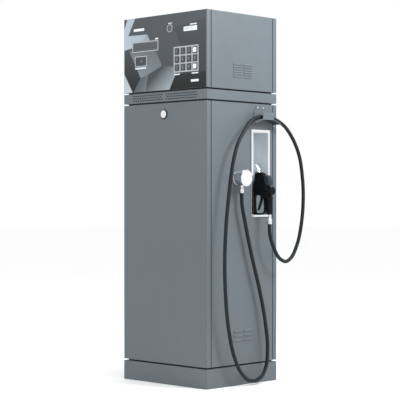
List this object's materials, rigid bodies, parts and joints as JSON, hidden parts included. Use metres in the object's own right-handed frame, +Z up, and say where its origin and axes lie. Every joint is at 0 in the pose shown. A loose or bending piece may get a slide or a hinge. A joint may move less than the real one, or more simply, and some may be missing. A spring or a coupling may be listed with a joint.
{
  "type": "gas pump",
  "caption": "Slim sheet-steel fuel dispenser with a keypad head, lift-off service panels, an inner pump set, and a nozzle in a side pocket on a hooked hose.",
  "frame": {"origin": "centre of the cabinet's footprint on the floor, at the middle of the anchor holes", "axes": "+Z up, -Y out of the keypad side, +X out of the hose side"},
  "size_m": [0.668, 0.6375, 1.8],
  "materials": {
    "powder_coat": "satin blue-grey powder coat",
    "frame_paint": "matt dark grey paint",
    "lock_black": "matt dark escutcheon",
    "chrome": "bright chrome plate",
    "overlay_print": "printed polycarbonate overlay, grey facets",
    "window_plastic": "dark tinted window with a light rim",
    "stainless": "brushed and polished stainless steel",
    "totalizer_white": "white counter face",
    "bezel_grey": "light grey moulded bezel",
    "key_black": "fine-textured black keys",
    "key_white": "white keys",
    "board_green": "green circuit board",
    "casting_paint": "grey enamel on cast metal",
    "valve_brass": "machined brass",
    "belt_rubber": "black drive belt",
    "hose_rubber": "smooth dark rubber cover",
    "nozzle_black": "black moulded cover",
    "nozzle_grey": "dark grey soft-touch plastic",
    "lens_glass": "clear glass"
  },
  "bodies": {
    "root": {"base_plinth": "powder_coat", "cabinet_frame": "frame_paint", "right_side_panel": "powder_coat", "left_side_panel": "powder_coat", "vent_band": "powder_coat", "head_base_tray": "frame_paint", "head_front_tray": "powder_coat", "head_rear_tray": "powder_coat", "head_cover": "powder_coat", "fascia_overlay": "overlay_print", "display_window": "window_plastic", "card_reader": "window_plastic", "tag_reader": "stainless", "totalizer": "totalizer_white", "keypad_bezel": "bezel_grey", "controller_board": "board_green", "power_supply": "stainless", "pump_unit": "casting_paint", "motor": "casting_paint", "drive_belt": "belt_rubber", "flow_meter": "casting_paint", "solenoid_valve": "valve_brass", "suction_pipe": "casting_paint", "delivery_pipe": "stainless", "junction_box": "casting_paint", "hose_hook": "powder_coat", "fixing_screws": "chrome", "nozzle_pocket": "stainless", "nozzle_sensor": "nozzle_grey", "sight_glass": "chrome", "sight_lens": "lens_glass", "outlet_fitting": "chrome", "hose": "hose_rubber"},
    "front_panel": {"front_panel": "powder_coat", "front_lock_body": "lock_black"},
    "front_lock": {"front_lock_barrel": "chrome"},
    "rear_panel": {"rear_panel": "powder_coat", "rear_lock_body": "lock_black"},
    "rear_lock": {"rear_lock_barrel": "chrome"},
    "motor_pulley": {"motor_pulley": "stainless"},
    "pump_pulley": {"pump_pulley": "stainless"},
    "sight_spinner": {"sight_spinner": "nozzle_black"},
    "nozzle": {"nozzle_body": "nozzle_black", "spout": "stainless", "nozzle_cap": "nozzle_grey", "grip_sleeve": "nozzle_grey"},
    "lever": {"lever": "nozzle_black"},
    "hose_swivel": {"hose_swivel": "chrome"},
    "key_1": {"key_1": "key_black"},
    "key_2": {"key_2": "key_black"},
    "key_3": {"key_3": "key_black"},
    "key_clear": {"key_clear": "key_white"},
    "key_4": {"key_4": "key_black"},
    "key_5": {"key_5": "key_black"},
    "key_6": {"key_6": "key_black"},
    "key_0": {"key_0": "key_black"},
    "key_7": {"key_7": "key_black"},
    "key_8": {"key_8": "key_black"},
    "key_9": {"key_9": "key_black"},
    "key_enter": {"key_enter": "key_white"}
  },
  "joints": [
    {"name": "front_panel_tilt", "type": "hinge", "parent": "root", "child": "front_panel", "pos_m": [0, -0.249, 0.102], "axis": [1, 0, 0], "range_deg": [0, 25]},
    {"name": "front_lock_turn", "type": "hinge", "parent": "front_panel", "child": "front_lock", "pos_m": [0, -0.25, 1.315], "axis": [0, -1, 0], "range_deg": [0, 90]},
    {"name": "rear_panel_tilt", "type": "hinge", "parent": "root", "child": "rear_panel", "pos_m": [0, 0.249, 0.102], "axis": [-1, 0, 0], "range_deg": [0, 25]},
    {"name": "rear_lock_turn", "type": "hinge", "parent": "rear_panel", "child": "rear_lock", "pos_m": [0, 0.25, 1.315], "axis": [0, 1, 0], "range_deg": [0, 90]},
    {"name": "pump_pulley_spin", "type": "hinge", "parent": "root", "child": "pump_pulley", "pos_m": [0.09, -0.15, 0.25], "axis": [0, 1, 0], "continuous": true},
    {"name": "motor_pulley_spin", "type": "hinge", "parent": "root", "child": "motor_pulley", "pos_m": [-0.145, -0.15, 0.214], "axis": [0, 1, 0], "continuous": true},
    {"name": "sight_spinner_spin", "type": "hinge", "parent": "root", "child": "sight_spinner", "pos_m": [0.341, -0.039, 1.0025], "axis": [1, 0, 0], "continuous": true},
    {"name": "nozzle_pull", "type": "slide", "parent": "root", "child": "nozzle", "axis": [1, 0, 0], "range_m": [0, 0.2], "deforming": ["hose"]},
    {"name": "lever_squeeze", "type": "hinge", "parent": "nozzle", "child": "lever", "pos_m": [0.296, 0.127, 0.925], "axis": [0, -1, 0], "range_deg": [0, 18], "stiffness_Nm_per_rad": 1.5, "springref_deg": -5.73},
    {"name": "hose_swivel_turn", "type": "hinge", "parent": "nozzle", "child": "hose_swivel", "pos_m": [0.352, 0.127, 0.79], "axis": [0, 0, 1], "continuous": true},
    {"name": "key_1_press", "type": "slide", "parent": "root", "child": "key_1", "axis": [0, 1, 0], "range_m": [0, 0.0015], "stiffness_N_per_m": 400, "springref_m": -0.0005},
    {"name": "key_2_press", "type": "slide", "parent": "root", "child": "key_2", "axis": [0, 1, 0], "range_m": [0, 0.0015], "stiffness_N_per_m": 400, "springref_m": -0.0005},
    {"name": "key_3_press", "type": "slide", "parent": "root", "child": "key_3", "axis": [0, 1, 0], "range_m": [0, 0.0015], "stiffness_N_per_m": 400, "springref_m": -0.0005},
    {"name": "key_clear_press", "type": "slide", "parent": "root", "child": "key_clear", "axis": [0, 1, 0], "range_m": [0, 0.0015], "stiffness_N_per_m": 400, "springref_m": -0.0005},
    {"name": "key_4_press", "type": "slide", "parent": "root", "child": "key_4", "axis": [0, 1, 0], "range_m": [0, 0.0015], "stiffness_N_per_m": 400, "springref_m": -0.0005},
    {"name": "key_5_press", "type": "slide", "parent": "root", "child": "key_5", "axis": [0, 1, 0], "range_m": [0, 0.0015], "stiffness_N_per_m": 400, "springref_m": -0.0005},
    {"name": "key_6_press", "type": "slide", "parent": "root", "child": "key_6", "axis": [0, 1, 0], "range_m": [0, 0.0015], "stiffness_N_per_m": 400, "springref_m": -0.0005},
    {"name": "key_0_press", "type": "slide", "parent": "root", "child": "key_0", "axis": [0, 1, 0], "range_m": [0, 0.0015], "stiffness_N_per_m": 400, "springref_m": -0.0005},
    {"name": "key_7_press", "type": "slide", "parent": "root", "child": "key_7", "axis": [0, 1, 0], "range_m": [0, 0.0015], "stiffness_N_per_m": 400, "springref_m": -0.0005},
    {"name": "key_8_press", "type": "slide", "parent": "root", "child": "key_8", "axis": [0, 1, 0], "range_m": [0, 0.0015], "stiffness_N_per_m": 400, "springref_m": -0.0005},
    {"name": "key_9_press", "type": "slide", "parent": "root", "child": "key_9", "axis": [0, 1, 0], "range_m": [0, 0.0015], "stiffness_N_per_m": 400, "springref_m": -0.0005},
    {"name": "key_enter_press", "type": "slide", "parent": "root", "child": "key_enter", "axis": [0, 1, 0], "range_m": [0, 0.0015], "stiffness_N_per_m": 400, "springref_m": -0.0005}
  ],
  "couplings": [
    {"joint": "motor_pulley_spin", "follows": "pump_pulley_spin", "ratio": 2}
  ]
}
